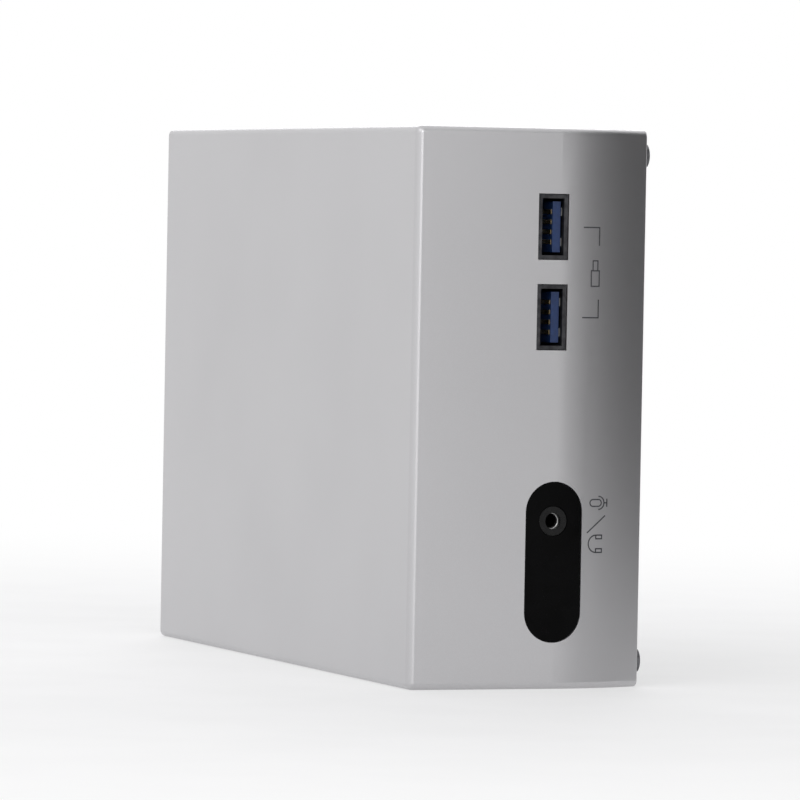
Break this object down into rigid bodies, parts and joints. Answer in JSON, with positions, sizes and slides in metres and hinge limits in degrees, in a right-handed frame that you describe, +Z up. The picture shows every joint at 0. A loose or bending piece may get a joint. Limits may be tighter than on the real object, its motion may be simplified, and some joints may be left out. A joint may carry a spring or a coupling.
{
  "type": "mini pc",
  "caption": "Small silver box computer with rounded edges, upright sockets and a pill-shaped window on its port face, standing on a narrow side.",
  "frame": {"origin": "middle of the footprint, on the plane that the narrow side stands on", "axes": "+Z up; -Y out of the port face; -X out of the plain large face; +X out of the base cover and its feet"},
  "size_m": [0.0584, 0.175, 0.123],
  "materials": {
    "case_silver": "satin silver paint",
    "cover_grey": "satin dark grey powder coat",
    "panel_black": "matt black",
    "foot_rubber": "matt",
    "window_black": "polished, infrared-clear",
    "black_plastic": "moulded",
    "blue_plastic": "moulded",
    "white_plastic": "translucent, moulded",
    "socket_steel": "nickel plated",
    "screw_steel": "black zinc",
    "contact_gold": "gold plated",
    "standoff_brass": "turned",
    "copper": "bare copper",
    "aluminium": "bare",
    "board_green": "solder mask over glass fibre",
    "chip_black": "moulded",
    "silicon": "polished die on green carrier",
    "choke_grey": "pressed ferrite",
    "can_aluminium": "drawn cans",
    "ribbon_grey": "flat film"
  },
  "bodies": {
    "case": {"case_shell": "case_silver", "usb_shell_front_upper": "socket_steel", "usb_tongue_front_upper": "blue_plastic", "usb_shell_front_lower": "socket_steel", "usb_tongue_front_lower": "blue_plastic", "io_window": "window_black", "audio_socket": "black_plastic", "infrared_receiver": "black_plastic", "main_board": "board_green", "board_standoffs": "standoff_brass", "board_screws": "screw_steel", "controller_chips": "chip_black", "power_chokes": "choke_grey", "capacitors": "can_aluminium", "memory_socket": "black_plastic", "memory_modules": "board_green", "storage_socket": "black_plastic", "storage_card": "board_green", "wireless_socket": "black_plastic", "wireless_card": "board_green", "card_screws": "screw_steel", "coin_cell_holder": "black_plastic", "coin_cell": "socket_steel", "processor": "silicon", "cold_plate": "copper", "heat_pipes": "copper", "fin_stack": "aluminium", "blower_housing": "black_plastic", "blower_cover": "socket_steel", "storage_drive": "aluminium", "drive_tray": "socket_steel", "tray_posts": "standoff_brass", "tray_screws": "screw_steel", "drive_plug": "black_plastic", "drive_header": "black_plastic", "drive_ribbon": "ribbon_grey", "rear_panel": "panel_black", "rear_panel_screws": "screw_steel", "power_inlet": "black_plastic", "power_inlet_pin": "socket_steel", "display_port_shell": "socket_steel", "display_port_blade": "black_plastic", "video_port_shell": "socket_steel", "video_port_blade": "black_plastic", "network_socket": "socket_steel", "usb_shell_rear": "socket_steel", "usb_tongues_rear": "blue_plastic", "usb_contacts": "contact_gold", "power_light_ring": "white_plastic", "power_switch": "black_plastic"},
    "button": {"power_button": "black_plastic", "switch_plunger": "black_plastic"},
    "rotor": {"blower_rotor": "black_plastic"},
    "cover": {"base_cover": "cover_grey", "base_cover_screws": "screw_steel", "rubber_feet": "foot_rubber"}
  },
  "joints": [
    {"name": "base_cover_off", "type": "slide", "parent": "case", "child": "cover", "axis": [1, 0, 0], "range_m": [0, 0.06]},
    {"name": "power_button_press", "type": "slide", "parent": "case", "child": "button", "axis": [0, -1, 0], "range_m": [0, 0.0006], "stiffness_N_per_m": 2000},
    {"name": "blower_spin", "type": "hinge", "parent": "case", "child": "rotor", "pos_m": [-0.016, 0.0379, 0.0615], "axis": [1, 0, 0], "continuous": true}
  ]
}
